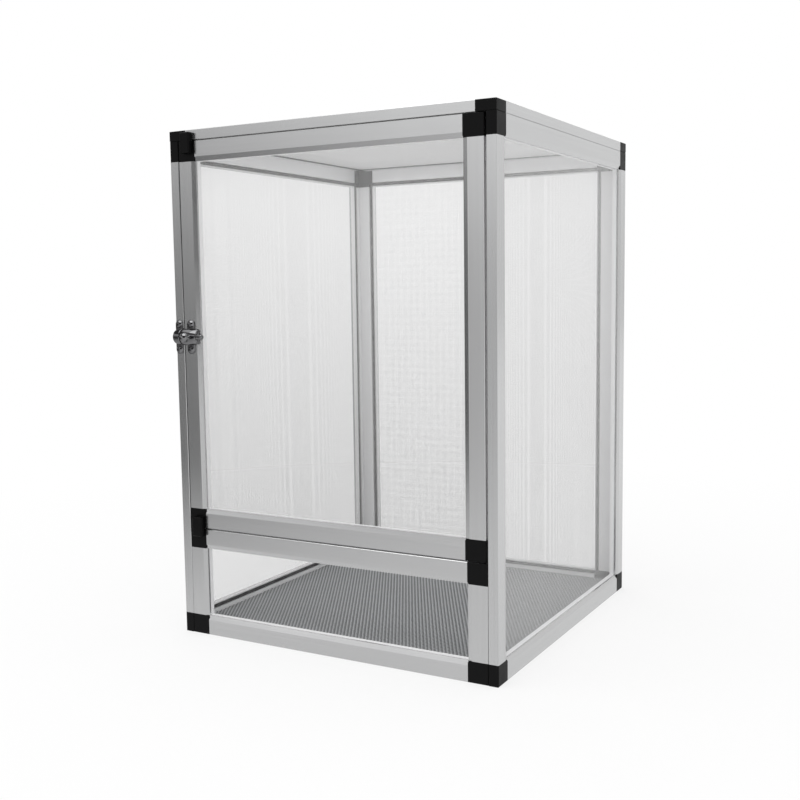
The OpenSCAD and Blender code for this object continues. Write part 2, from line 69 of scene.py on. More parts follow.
# the floor mesh's flat wires: distance from one to the next, width, height
WIRES_ACROSS = (3.2, 2.4, 0.6)
WIRES_ALONG = (1.76, 1.4, 0.6)
PAINTED_HIGHLIGHT_RISE = (0.6, 1.1)     # the floor frame's top to where a flat wire's painted highlight starts and where it is palest

CORD_R = 1.6
CORD_RIDGE = 0.14       # height of a cord's ribs
CORD_RIBS = 12
CORD_LIFT = 0.05        # room under a cord
CORD_GAP = 0.2          # room between a cord's end and the groove's wall
CORD_JOIN = 0.3         # room between two lengths of cord at a corner
ROLLER_STEP = 2.8       # marks of the wheel that presses the spline in
ROLLER_PRESS = 0.86     # a cord's thickness at such a mark, as a share

BOLT_X, BOLT_Z = -146.0, 276.4
FACE_Y = -150.5         # front face of the door and of the side panels
ROD_Y = -154.2
ROD_R = 2.4
RING_CUT = 0.2          # depth of the ring turned into the rod
NOSE_CUT = 0.5
TAIL_LEN = 1.2
TAIL_SHARE = 0.45       # flat end of the tail, as a share of the rod's radius
BORE_R = 2.5
BULGE_R = 7.8
BULGE_TIP_R = 5.5
BULGE_LEN = 28.0
BULGE_SOFT = 0.6        # rounding of the bulge's end edges
FOOT_T = 1.0
FOOT_W = 8.4
FOOT_SOFT = 0.3
SCREW_PITCH = 11.4      # from the bolt's axis to a screw
HEAD_R = 3.4
HEAD_H = 2.0
RECESS_T = 1.1          # depth of a screw's cross recess
RECESS_ARM = (1.9, 0.42)    # half the length and half the width of its arms
SHANK_R = 1.2
SHANK_LEN = 6.0
SHANK_POINT = 1.2
SHANK_ROOM = 0.05
KNOB_X, KNOB_Y = -138.4, -165.0
KNOB_R = 4.5
COLLAR_R = 1.9          # collar under the knob's ball
COLLAR_T = 0.9
COLLAR_CUT = 0.2
STEM_R = 1.3
STEM_ROOM = 0.1
TRAVEL = 6.5
SOCKET_R = 2.7
SOCKET_ROOM = 0.8
THROUGH = 1.0           # how far a cutting shape reaches past what it cuts

WIRE_SOFT = 60          # edges of the finished shapes that are flatter, in degrees, look soft
CHROME_SOFT = 32


# Working with meshes

def shell(bm, smooth=0.0):
    """Mesh in metres from work in millimetres; edges flatter than smooth degrees are soft."""
    bmesh.ops.remove_doubles(bm, verts=bm.verts, dist=LOOSE)
    bmesh.ops.recalc_face_normals(bm, faces=bm.faces)
    for face in bm.faces:
        face.smooth = smooth > 0
    for edge in bm.edges:
        edge.smooth = edge.calc_face_angle(math.pi) < math.radians(smooth)
    bmesh.ops.scale(bm, vec=(MM, MM, MM), verts=bm.verts)
    mesh = bpy.data.meshes.new("shell")
    bm.to_mesh(mesh)
    bm.free()
    return mesh


def piece(name, mesh, finish, body, slot, *replaced):
    """Puts a finished mesh in the assembly, at the origin, on its body and for its nodes."""
    mesh.name = name
    mesh.materials.clear()
    mesh.materials.append(finish)
    obj = bpy.data.objects.new(name, mesh)
    bpy.context.scene.collection.objects.link(obj)
    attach(obj, body)
    if replaced:
        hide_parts(*replaced)
    return obj


def repeat(bm, geom, step, count):
    """Lays count of the same thing along step."""
    if count > 1:
        bmesh.ops.spin(bm, geom=geom, cent=(0, 0, 0), axis=(0, 0, 1), dvec=step, angle=0.0,
                       steps=count - 1, use_duplicate=True)


def all_of(bm):
    return bm.verts[:] + bm.edges[:] + bm.faces[:]


def corners_in(geom):
    return [part for part in geom if isinstance(part, bmesh.types.BMVert)]


def edges_in(geom):
    return [part for part in geom if isinstance(part, bmesh.types.BMEdge)]


def link_added(bm, edges, step):
    """Draws the open edges of a tube out by step. Gives its new corners and open edges."""
    new = bmesh.ops.extrude_edge_only(bm, edges=edges)["geom"]
    bmesh.ops.translate(bm, vec=step, verts=corners_in(new))
    return corners_in(new), edges_in(new)


def joined(*parts):
    """One bmesh from several, which are used up."""
    whole = bmesh.new()
    for part in parts:
        mesh = bpy.data.meshes.new("part")
        part.to_mesh(mesh)
        part.free()
        whole.from_mesh(mesh)
        bpy.data.meshes.remove(mesh)
    return whole


def carved(operation, bm, *others):
    """A closed shape with other closed shapes cut out of it or joined to it."""
    def rough(work):
        bmesh.ops.recalc_face_normals(work, faces=work.faces)
        mesh = bpy.data.meshes.new("rough")
        work.to_mesh(mesh)
        work.free()
        obj = bpy.data.objects.new("rough", mesh)
        bpy.context.scene.collection.objects.link(obj)
        return obj

    blank = rough(bm)
    tools = [rough(other) for other in others]
    for tool in tools:
        modifier = blank.modifiers.new("carve", "BOOLEAN")
        modifier.operation = operation
        modifier.solver = "EXACT"
        modifier.object = tool
    bpy.context.view_layer.update()
    result = bmesh.new()
    result.from_object(blank, bpy.context.evaluated_depsgraph_get())
    for obj in [blank] + tools:
        mesh = obj.data
        bpy.data.objects.remove(obj)
        bpy.data.meshes.remove(mesh)
    return result


def turned(profile, steps):
    """A shape turned about the X axis from (x, radius) points, closed on the axis."""
    bm = bmesh.new()
    verts = [bm.verts.new((x, -r, 0)) for x, r in profile]
    edges = [bm.edges.new(pair) for pair in zip(verts, verts[1:])]
    bmesh.ops.spin(bm, geom=verts + edges, cent=(0, 0, 0), axis=(1, 0, 0), dvec=(0, 0, 0),
                   angle=2 * math.pi, steps=steps, use_merge=True)
    bmesh.ops.remove_doubles(bm, verts=bm.verts, dist=LOOSE)
    return bm


def box_shape(low, high):
    bm = bmesh.new()
    bmesh.ops.create_cube(bm, size=1.0)
    low, high = Vector(low), Vector(high)
    bmesh.ops.scale(bm, vec=high - low, verts=bm.verts)
    bmesh.ops.translate(bm, vec=(low + high) / 2, verts=bm.verts)
    return bm


def moved(bm, matrix):
    bmesh.ops.transform(bm, matrix=matrix, verts=bm.verts)
    return bm


# Panels

class Panel:
    """A flat panel's own axes: u across, v up, and depth from its outer face inward."""

    def __init__(self, name, outer, across, up, inward):
        low, high = (Vector(c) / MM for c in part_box(name + "_corner_keys"))
        size = high - low
        self.w = abs(size.dot(Vector(across)))
        self.h = abs(size.dot(Vector(up)))
        origin = low
        if outer == "high":
            origin = low + Vector([abs(a) * s for a, s in zip(inward, size)])
        self.place = Matrix((across, up, inward)).transposed().to_4x4()
        self.place.translation = origin


PANELS = {
    "left": Panel("left", "low", (0, 1, 0), (0, 0, 1), (1, 0, 0)),
    "right": Panel("right", "high", (0, 1, 0), (0, 0, 1), (-1, 0, 0)),
    "rear": Panel("rear", "high", (1, 0, 0), (0, 0, 1), (0, -1, 0)),
    "lid": Panel("lid", "high", (1, 0, 0), (0, 1, 0), (0, 0, -1)),
    "door": Panel("door", "low", (1, 0, 0), (0, 0, 1), (0, 1, 0)),
    "floor": Panel("floor", "low", (1, 0, 0), (0, 1, 0), (0, 0, 1)),
}


def wire_layer(length, width, pitch, radius):
    """Parallel wires along X, spread over Y. Their ends turn down into the groove."""
    bm = bmesh.new()
    count = int((width - 2 * (LIP_U + radius)) // pitch) + 1
    margin = (width - (count - 1) * pitch) / 2
    ring = bmesh.ops.create_circle(bm, cap_ends=True, segments=4, radius=radius,
                                   matrix=Matrix.Translation((LIP_U, margin, -HOOK)))
    cap = ring["verts"][0].link_faces[0]
    for step, turn in (((0, 0, HOOK), 45), ((length - 2 * LIP_U, 0, 0), 45),
                       ((0, 0, -HOOK), 90)):
        new = bmesh.ops.extrude_face_region(bm, geom=[cap])["geom"]
        verts = corners_in(new)
        cap = next(part for part in new if isinstance(part, bmesh.types.BMFace))
        bmesh.ops.translate(bm, vec=step, verts=verts)
        middle = sum((v.co for v in verts), Vector()) / len(verts)
        bmesh.ops.rotate(bm, cent=middle, verts=verts,
                         matrix=Matrix.Rotation(math.radians(turn), 3, "Y"))
    repeat(bm, all_of(bm), (0, pitch, 0), count)
    return bm


def screen(panel, pitch):
    """Two crossed layers of wires, the upper one resting on the lower one."""
    wire = pitch * WIRE_SHARE
    lower = wire_layer(panel.w, panel.h, pitch, wire / 2)
    upper = wire_layer(panel.h, panel.w, pitch, wire / 2)
    swap = Matrix(((0, 1, 0, 0), (1, 0, 0, 0), (0, 0, 1, 0), (0, 0, 0, 1)))
    moved(lower, Matrix.Translation((0, 0, SCREEN_V + wire / 2)))
    moved(upper, Matrix.Translation((0, 0, SCREEN_V + UPPER_LAYER * wire)) @ swap)
    return moved(joined(lower, upper), panel.place)


def rows_in(length, wires):
    """How many of these wires fit side by side, as an even number, and where the first lies."""
    pitch, wide, _ = wires
    rows = (int((length - wide) // pitch) + 1) // 2 * 2
    return rows, (length - (rows - 1) * pitch) / 2


def flat_wires(length, width, wires, crossed):
    """Flat wires along X, side by side along Y, waving over and under those that they cross."""
    pitch, wide, high = wires
    step = crossed[0]
    count, first = rows_in(length, crossed)
    rows, side = rows_in(width, wires)
    bm = bmesh.new()
    across = bmesh.ops.create_circle(bm, segments=4, radius=wide / 2,
                                     matrix=Matrix.Rotation(math.radians(90), 4, "Y"))["verts"]
    bmesh.ops.scale(bm, vec=(1, 1, high / wide), verts=across)
    bmesh.ops.translate(bm, vec=(first - 2 * step, 0, high / 2), verts=across)
    edges = bm.edges[:]
    for lift in (-high, high):
        _, edges = link_added(bm, edges, (step, 0, lift))
    repeat(bm, all_of(bm), (2 * step, 0, 0), count // 2 + 2)
    bmesh.ops.remove_doubles(bm, verts=bm.verts, dist=2 * LOOSE)
    second = bmesh.ops.duplicate(bm, geom=all_of(bm))["geom"]
    bmesh.ops.translate(bm, vec=(step, pitch, 0), verts=corners_in(second))
    for x, out in ((0, -1), (length, 1)):
        bmesh.ops.bisect_plane(bm, geom=all_of(bm), plane_co=(x, 0, 0), plane_no=(out, 0, 0),
                               clear_outer=True)
    bmesh.ops.holes_fill(bm, edges=bm.edges[:], sides=0)
    repeat(bm, all_of(bm), (0, 2 * pitch, 0), rows // 2)
    return moved(bm, Matrix.Translation((0, side, 0)))


def floor_wires(panel, wires, crossed):
    """One half of a plain weave. The wires along v lie low where those along u lie high."""
    u, v = panel.w - 2 * FLOOR_EDGE, panel.h - 2 * FLOOR_EDGE
    place = Matrix.Translation((FLOOR_EDGE, FLOOR_EDGE, BAR_T + wires[2]))
    if wires is WIRES_ALONG:
        turn = Matrix(((0, 1, 0, 0), (1, 0, 0, 0), (0, 0, -1, 0), (0, 0, 0, 1)))
        return moved(flat_wires(v, u, wires, crossed), panel.place @ place @ turn)
    return moved(flat_wires(u, v, wires, crossed), panel.place @ place)


def cord(length):
    """A ribbed cord along X from 0 to length, with the dents of the roller."""
    bm = bmesh.new()
    ring = bmesh.ops.create_circle(bm, segments=2 * CORD_RIBS, radius=CORD_R,
                                   matrix=Matrix.Rotation(math.radians(90), 4, "Y"))["verts"]
    valley = (CORD_R - CORD_RIDGE) / CORD_R
    bmesh.ops.scale(bm, vec=(1, valley, valley), verts=ring[::2])
    count = max(1, round(length / ROLLER_STEP))
    half = length / count / 2
    edges = bm.edges[:]
    for press in (ROLLER_PRESS, 1 / ROLLER_PRESS):
        verts, edges = link_added(bm, edges, (half, 0, 0))
        bmesh.ops.scale(bm, vec=(1, press, press), verts=verts)
    repeat(bm, all_of(bm), (2 * half, 0, 0), count)
    bmesh.ops.remove_doubles(bm, verts=bm.verts, dist=2 * LOOSE)
    bmesh.ops.holes_fill(bm, edges=bm.edges[:], sides=0)
    return bm


def spline(panel):
    """Four lengths of cord in the groove of a panel, the upright ones between the others."""
    line = (LIP_U + GROOVE_U) / 2
    depth = GROOVE_V + CORD_R + CORD_LIFT
    start = GROOVE_U + CORD_GAP
    foot = line + CORD_R + CORD_JOIN
    quarter = Matrix.Rotation(math.radians(90), 4, "Z")
    lengths = []
    for v in (line, panel.h - line):
        place = Matrix.Translation((start, v, depth))
        lengths.append(moved(cord(panel.w - 2 * start), place))
    for u in (line, panel.w - line):
        place = Matrix.Translation((u, foot, depth)) @ quarter
        lengths.append(moved(cord(panel.h - 2 * foot), place))
    return moved(joined(*lengths), panel.place)


# Finishes

def new_finish(name):
    m = bpy.data.materials.new(name)
    m.use_nodes = True
    tree = m.node_tree
    return m, tree, tree.nodes["Principled BSDF"]


def add(tree, kind, **sockets):
    node = tree.nodes.new(kind)
    for key, value in sockets.items():
        node.inputs[key].default_value = value
    return node


def place_in(tree, scale=(1, 1, 1), shift=(0, 0, 0)):
    """A point's place in the cage, stretched by scale and shifted."""
    coords = tree.nodes.new("ShaderNodeTexCoord")
    mapping = add(tree, "ShaderNodeMapping", Scale=scale, Location=shift)
    tree.links.new(coords.outputs["Object"], mapping.inputs["Vector"])
    return mapping.outputs["Vector"]


def noise(tree, scale, detail=3.0, vector=None):
    n = add(tree, "ShaderNodeTexNoise", Scale=scale, Detail=detail)
    tree.links.new(vector or place_in(tree), n.inputs["Vector"])
    return n.outputs["Fac"]


def span(tree, value, low, high, out_low, out_high):
    """Takes the range from low to high to that from out_low to out_high, and stops there."""
    n = tree.nodes.new("ShaderNodeMapRange")
    for key, v in (("From Min", low), ("From Max", high), ("To Min", out_low),
                   ("To Max", out_high)):
        n.inputs[key].default_value = v
    tree.links.new(value, n.inputs["Value"])
    return n.outputs["Result"]


def figure(tree, operation, a, b):
    n = tree.nodes.new("ShaderNodeMath")
    n.operation = operation
    for socket, value in zip(n.inputs, (a, b)):
        if isinstance(value, (int, float)):
            socket.default_value = value
        else:
            tree.links.new(value, socket)
    return n.outputs[0]


def vector_figure(tree, operation, vector, other=None):
    n = tree.nodes.new("ShaderNodeVectorMath")
    n.operation = operation
    tree.links.new(vector, n.inputs[0])
    if other:
        n.inputs[1].default_value = other
    return n.outputs["Vector" if operation == "ABSOLUTE" else "Value"]


def along(tree, vector, direction):
    return vector_figure(tree, "DOT_PRODUCT", vector, direction)


def axes_of(tree, vector):
    n = tree.nodes.new("ShaderNodeSeparateXYZ")
    tree.links.new(vector, n.inputs[0])
    return n.outputs


def shade(tree, value, dark, light):
    """A colour between dark and light; either may be a colour that is worked out."""
    n = tree.nodes.new("ShaderNodeMix")
    n.data_type = "RGBA"
    for socket, colour in ((n.inputs[6], dark), (n.inputs[7], light)):
        if isinstance(colour, tuple):
            socket.default_value = (*colour, 1)
        else:
            tree.links.new(colour, socket)
    tree.links.new(value, n.inputs[0])
    return n.outputs[2]


def grey(level):
    return (level, level, level)


def relief(tree, shader, value, strength, distance):
    n = add(tree, "ShaderNodeBump", Strength=strength, Distance=distance)
    tree.links.new(value, n.inputs["Height"])
    tree.links.new(n.outputs["Normal"], shader.inputs["Normal"])


def within_cage(tree):
    """1 on the faces that look into the cage, 0 on the outer ones."""
    low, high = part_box("left_corner_keys")[0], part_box("right_corner_keys")[1]
    high = Vector((high.x, high.y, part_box("lid_corner_keys")[1].z))
    low += Vector((EDGE_BACK, EDGE_BACK, INNER))
    high -= Vector((EDGE_BACK, EDGE_BACK, INNER))
    middle, half = (low + high) / 2, (high - low) / 2
    scale = [1 / h for h in half]
    place = place_in(tree, scale, [-c * k for c, k in zip(middle, scale)])
    x, y, z = axes_of(tree, vector_figure(tree, "ABSOLUTE", place))
    farthest = figure(tree, "MAXIMUM", figure(tree, "MAXIMUM", x, y), z)
    return figure(tree, "LESS_THAN", farthest, 1)


def drawn_aluminium(name, axis):
    """Extruded bar: fine die lines along it, faint clouds, a few rub marks, duller on the faces
    within the cage, which are painted almost white as painted light.
    """
    m, tree, shader = new_finish(name)
    inner_faces_painted_pale = within_cage(tree)
    fine = [2600.0] * 3
    fine["XYZ".index(axis)] = 12.0
    coarse = [420.0] * 3
    coarse["XYZ".index(axis)] = 3.0
    lines = noise(tree, 1.0, 3, place_in(tree, fine))
    bands = noise(tree, 1.0, 2, place_in(tree, coarse))
    cloud = noise(tree, 16.0, 5)
    rubs = noise(tree, 1.0, 6, place_in(tree, [s * 0.25 for s in fine]))
    base = shade(tree, span(tree, lines, 0.3, 0.7, 0, 1), (0.55, 0.552, 0.556),
                 (0.575, 0.577, 0.58))
    base = shade(tree, span(tree, bands, 0.35, 0.65, 0, 0.35), base, (0.6, 0.602, 0.604))
    base = shade(tree, span(tree, rubs, 0.68, 0.76, 0, 0.3), base, grey(0.68))
    # painted light: the faces within the cage are painted almost white
    tree.links.new(shade(tree, inner_faces_painted_pale, base, (0.94, 0.94, 0.945)), shader.inputs["Base Color"])
    rough = figure(tree, "ADD", span(tree, cloud, 0.3, 0.7, 0.19, 0.235),
                   span(tree, lines, 0.3, 0.7, 0.0, 0.02))
    tree.links.new(figure(tree, "ADD", rough, span(tree, inner_faces_painted_pale, 0, 1, 0, 0.22)),
                   shader.inputs["Roughness"])
    relief(tree, shader, lines, 0.2, 0.000006)
    tree.links.new(span(tree, inner_faces_painted_pale, 0, 1, 0.96, 0.15), shader.inputs["Metallic"])
    return m


def moulded_black():
    """Injection moulded nylon: spark-eroded grain, slightly polished where it is touched."""
    m, tree, shader = new_finish("moulded_black")
    grain = noise(tree, 2600.0, 2)
    touch = noise(tree, 60.0, 4)
    tree.links.new(shade(tree, touch, grey(0.0025), (0.006, 0.006, 0.0064)),
                   shader.inputs["Base Color"])
    tree.links.new(span(tree, touch, 0.3, 0.7, 0.38, 0.52), shader.inputs["Roughness"])
    relief(tree, shader, grain, 0.35, 0.00003)
    shader.inputs["Specular IOR Level"].default_value = 0.11
    return m


def screen_wire(name, low, high):
    """Drawn wire with duller places, and painted shade that makes it darker lower down."""
    m, tree, shader = new_finish(name)
    spots = noise(tree, 500.0, 2)
    drift = noise(tree, 22.0, 3)
    # painted shade: the wire's colour goes from low at the foot to high above, darker lower
    # down
    painted_shade_low_down = span(tree, axes_of(tree, place_in(tree))["Z"], 0.1, 0.4, 0, 1)
    base = shade(tree, painted_shade_low_down, grey(low), grey(high))
    spotted = figure(tree, "ADD", span(tree, drift, 0.35, 0.65, 0, 0.06),
                     span(tree, spots, 0.3, 0.7, 0, 0.06))
    tree.links.new(shade(tree, spotted, base, grey(0.5)), shader.inputs["Base Color"])
    tree.links.new(span(tree, spots, 0.3, 0.7, 0.32, 0.48), shader.inputs["Roughness"])
    shader.inputs["Metallic"].default_value = 0.45
    return m


def coated_wire(name, low, high):
    """Grey coated wire, painted paler and a little bluer on its crowns as a highlight, with
    dust in the mesh.
    """
    m, tree, shader = new_finish(name)
    # painted highlight: the flat wires are painted paler higher up on their crowns and darker
    # in the weave's hollows
    painted_crown_highlight = span(tree, axes_of(tree, place_in(tree))["Z"],
                 *((BAR_T + rise) * MM for rise in PAINTED_HIGHLIGHT_RISE), 0, 1)
    base = shade(tree, painted_crown_highlight, grey(low), (high * 0.97, high, high * 1.03))
    dust = noise(tree, 90.0, 5)
    tree.links.new(shade(tree, span(tree, dust, 0.4, 0.8, 0, 0.2), base, grey(0.4)),
                   shader.inputs["Base Color"])
    tree.links.new(span(tree, dust, 0.3, 0.7, 0.7, 0.9), shader.inputs["Roughness"])
    shader.inputs["Specular IOR Level"].default_value = 0.08
    return m


def spline_rubber():
    """Matt vinyl cord with dust in its ribs."""
    m, tree, shader = new_finish("spline_rubber")
    dust = noise(tree, 240.0, 5)
    tree.links.new(shade(tree, span(tree, dust, 0.35, 0.7, 0, 1), grey(0.05), grey(0.17)),
                   shader.inputs["Base Color"])
    tree.links.new(span(tree, dust, 0.3, 0.7, 0.55, 0.8), shader.inputs["Roughness"])
    relief(tree, shader, noise(tree, 1800.0, 2), 0.3, 0.00003)
    shader.inputs["Specular IOR Level"].default_value = 0.3
    return m


def plated_chrome():
    """Thin bright plating over a die casting, a little wavy and hazy."""
    m, tree, shader = new_finish("plated_chrome")
    haze = noise(tree, 180.0, 4)
    tree.links.new(shade(tree, haze, (0.15, 0.15, 0.154), (0.27, 0.27, 0.275)),
                   shader.inputs["Base Color"])
    tree.links.new(span(tree, haze, 0.3, 0.7, 0.02, 0.05), shader.inputs["Roughness"])
    relief(tree, shader, noise(tree, 300.0, 1), 0.25, 0.00005)
    shader.inputs["Metallic"].default_value = 1.0
    return m


def blackened_steel():
    """Turned steel pins, oiled black."""
    m, tree, shader = new_finish("blackened_steel")
    rings = noise(tree, 900.0, 2)
    tree.links.new(shade(tree, rings, (0.03, 0.03, 0.032), (0.06, 0.06, 0.062)),
                   shader.inputs["Base Color"])
    tree.links.new(span(tree, rings, 0.3, 0.7, 0.35, 0.5), shader.inputs["Roughness"])
    shader.inputs["Metallic"].default_value = 1.0
    return m


BAR_FINISH = {axis: drawn_aluminium("drawn_aluminium_" + axis.lower(), axis) for axis in "XYZ"}
BLACK = moulded_black()
# painted light: the right screen's wire is painted paler and the lid's darker and even, lit and
# shaded copies of one wire
WIRE = screen_wire("screen_wire", 0.38, 0.95)
WIRE_PAINTED_PER_PANEL = {"right": screen_wire("screen_wire_right_painted_paler", 0.85, 0.98),
           "lid": screen_wire("screen_wire_lid_painted_darker", 0.7, 0.7)}
# painted light: one family of floor wires is painted dark and the other light, shaded and lit
# copies of one coated wire
FLOOR_WIRE_PAINTED_DARK = coated_wire("coated_wire_painted_dark", 0.13, 0.24)
FLOOR_WIRE_PAINTED_LIGHT = coated_wire("coated_wire_painted_light", 0.28, 0.62)
RUBBER = spline_rubber()
CHROME = plated_chrome()
STEEL = blackened_steel()


# Solids that stay

def finish_for(name):
    if name.endswith("_keys") or name == "door_stops":
        return BLACK
    if name.endswith("_spline"):
        return RUBBER
    if name.endswith("_mesh"):
        return WIRE_PAINTED_PER_PANEL.get(name.removesuffix("_mesh"), WIRE)
    if name == "floor_sheet":
        return FLOOR_WIRE_PAINTED_LIGHT
    if name.startswith("bolt") or name.endswith("_screws"):
        return CHROME
    if name.endswith("_pin") or name.endswith("_pegs"):
        return STEEL
    low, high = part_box(name)
    size = list(high - low)
    return BAR_FINISH["XYZ"[size.index(max(size))]]


def round_edges(obj, width):
    """Breaks the sharp edges of a moulding."""
    weld = obj.modifiers.new("weld", "WELD")
    weld.merge_threshold = 0.000002
    bevel = obj.modifiers.new("round", "BEVEL")
    bevel.width = width * MM
    bevel.segments = 2
    bevel.limit_method = "ANGLE"
    bevel.angle_limit = math.radians(30)
    bevel.profile = 0.5


for name, obj in nodes.items():
    obj.data.materials.clear()
    obj.data.materials.append(finish_for(name))
    if finish_for(name) is BLACK:
        round_edges(obj, KEY_SOFT)


# Screens and spline

for name, panel in PANELS.items():
    if name == "floor":
        continue
    body = "door" if name == "door" else "frame"
    wires = screen(panel, DOOR_PITCH if name == "door" else SCREEN_PITCH)
    piece(name + "_screen", shell(wires, WIRE_SOFT), WIRE_PAINTED_PER_PANEL.get(name, WIRE), body, "wire_mesh",
          name + "_mesh")
    piece(name + "_cord", shell(spline(panel)), RUBBER, body, "spline_rubber", name + "_spline")

for name, wires, crossed, finish in (("floor_wires_across", WIRES_ACROSS, WIRES_ALONG, FLOOR_WIRE_PAINTED_DARK),
                                     ("floor_wires_along", WIRES_ALONG, WIRES_ACROSS, FLOOR_WIRE_PAINTED_LIGHT)):
    half_weave = floor_wires(PANELS["floor"], wires, crossed)
    piece(name, shell(half_weave, WIRE_SOFT), finish, "frame", "wire_mesh", "floor_sheet")


# Slide bolt

AXIS = Matrix.Translation((0, FACE_Y, BOLT_Z))      # bolt's axis, on the face of the bars
OUTWARD = Matrix.Rotation(math.radians(-90), 4, "Z")
INWARD = Matrix.Rotation(math.radians(90), 4, "Z")
QUARTER_TURN = [math.radians(15 * k) for k in range(7)]


def bulge_radius(x):
    """The bulge's outline is half an ellipse that stands on its tips' radius."""
    t = 2 * (x - BOLT_X) / BULGE_LEN
    return BULGE_TIP_R + (BULGE_R - BULGE_TIP_R) * math.sqrt(max(0.0, 1 - t * t))


def bulge(x0, x1):
    """Outline of the bulge between x0 and x1, with its end edges rounded over."""
    soft, steps = BULGE_SOFT, 14
    outline = [(x0, 0.0)]
    outline += [(x0 + soft * (1 - math.cos(a)), bulge_radius(x0) - soft * (1 - math.sin(a)))
                for a in QUARTER_TURN]
    outline += [(x, bulge_radius(x)) for x in
                (x0 + soft + (x1 - x0 - 2 * soft) * i / steps for i in range(1, steps))]
    outline += [(x1 - soft * (1 - math.cos(a)), bulge_radius(x1) - soft * (1 - math.sin(a)))
                for a in reversed(QUARTER_TURN)]
    return outline + [(x1, 0.0)]


def half_turned(profile, steps):
    """Half a turned shape about X, bulging to the front and flat behind."""
    bm = bmesh.new()
    verts = [bm.verts.new((x, 0, r)) for x, r in profile]
    edges = [bm.edges.new(pair) for pair in zip(verts, verts[1:])]
    bmesh.ops.spin(bm, geom=verts + edges, cent=(0, 0, 0), axis=(1, 0, 0), dvec=(0, 0, 0),
                   angle=math.pi, steps=steps)
    bmesh.ops.remove_doubles(bm, verts=bm.verts, dist=LOOSE)
    bmesh.ops.holes_fill(bm, edges=bm.edges[:], sides=0)
    return bm


def foot_plate(x):
    """Upright plate with round ends and a broken front edge."""
    bm = bmesh.new()
    segments = 40
    lean = Matrix.Rotation(math.pi / segments, 4, "Z")
    circle = bmesh.ops.create_circle(bm, cap_ends=True, segments=segments, radius=FOOT_W / 2,
                                     matrix=Matrix.Rotation(math.radians(90), 4, "X") @ lean)
    for side in (-1, 1):
        half = [v for v in circle["verts"] if v.co.z * side > 0]
        bmesh.ops.translate(bm, vec=(x, 0, side * SCREW_PITCH), verts=half)
    new = bmesh.ops.extrude_face_region(bm, geom=bm.faces[:])["geom"]
    bmesh.ops.translate(bm, vec=(0, -FOOT_T, 0), verts=corners_in(new))
    bmesh.ops.bevel(bm, geom=edges_in(new), offset=FOOT_SOFT, segments=2, profile=0.5,
                    affect="EDGES", material=-1)
    return bm


def screw_bore(x, side):
    r = SHANK_R + SHANK_ROOM
    bore = turned([(-THROUGH, 0), (-THROUGH, r), (SHANK_LEN, r), (SHANK_LEN, 0)], 16)
    return moved(bore, Matrix.Translation((x, -FOOT_T, side * SCREW_PITCH)) @ INWARD)


def casting(x0, x1, foot_x, *hollows):
    """Bulge and foot in one, with its hollows and screw holes cut."""
    body = carved("UNION", half_turned(bulge(x0, x1), 32), foot_plate(foot_x))
    holes = [screw_bore(foot_x, side) for side in (-1, 1)]
    return moved(carved("DIFFERENCE", body, *hollows, *holes), AXIS)


def screw(turn):
    """Domed screw along X with a cross recess, its head above x = 0."""
    ball = (HEAD_R ** 2 + HEAD_H ** 2) / (2 * HEAD_H)
    widest = math.asin(HEAD_R / ball)
    steps = 9
    outline = [(-SHANK_LEN, 0), (-SHANK_LEN + SHANK_POINT, SHANK_R), (0, SHANK_R)]
    for k in range(steps, 0, -1):
        a = widest * k / steps
        outline.append((HEAD_H - ball * (1 - math.cos(a)), ball * math.sin(a)))
    outline.append((HEAD_H, 0))
    arms = []
    for angle in (turn, turn + 90):
        arm = box_shape((HEAD_H - RECESS_T, *(-a for a in RECESS_ARM)),
                        (HEAD_H + THROUGH, *RECESS_ARM))
        arms.append(moved(arm, Matrix.Rotation(math.radians(angle), 4, "X")))
    return carved("DIFFERENCE", turned(outline, 32), *arms)


def screw_pair(x, turns):
    """The lower and the upper screw of a foot, each left at its own angle."""
    pair = []
    for side, turn in zip((-1, 1), turns):
        place = Matrix.Translation((x, -FOOT_T, side * SCREW_PITCH)) @ OUTWARD
        pair.append(moved(screw(turn), AXIS @ place))
    return joined(*pair)


def ends(name):
    """Lowest and highest x of a solid of the bolt."""
    low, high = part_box(name)
    return low.x / MM, high.x / MM


def rod(x0, x1):
    """Rod with a chamfered nose, a turned ring and a rounded tail."""
    outline = [(x0, 0), (x0, ROD_R - NOSE_CUT), (x0 + NOSE_CUT, ROD_R)]
    outline += [(x1 - back, ROD_R - cut) for back, cut in
                ((5.0, 0), (4.8, RING_CUT), (4.2, RING_CUT), (4.0, 0))]
    outline += [(x1 - TAIL_LEN * (1 - math.sin(a)),
                 ROD_R * (TAIL_SHARE + (1 - TAIL_SHARE) * math.cos(a))) for a in QUARTER_TURN]
    outline.append((x1, 0))
    return moved(turned(outline, 32), AXIS @ Matrix.Translation((0, ROD_Y - FACE_Y, 0)))


def knob():
    """Ball knob on its stem, with a small collar under the ball."""
    reach = ROD_Y - KNOB_Y
    foot = reach - math.sqrt(KNOB_R ** 2 - COLLAR_R ** 2)
    outline = [(0, 0), (0, STEM_R), (foot - COLLAR_T, STEM_R),
               (foot - COLLAR_T + COLLAR_CUT, COLLAR_R), (foot, COLLAR_R)]
    start = math.asin(COLLAR_R / KNOB_R)
    steps = 18
    for k in range(1, steps):
        a = start + (math.pi - start) * k / steps
        outline.append((reach - KNOB_R * math.cos(a), KNOB_R * math.sin(a)))
    outline.append((reach + KNOB_R, 0))
    return moved(turned(outline, 36), Matrix.Translation((KNOB_X, ROD_Y, BOLT_Z)) @ OUTWARD)


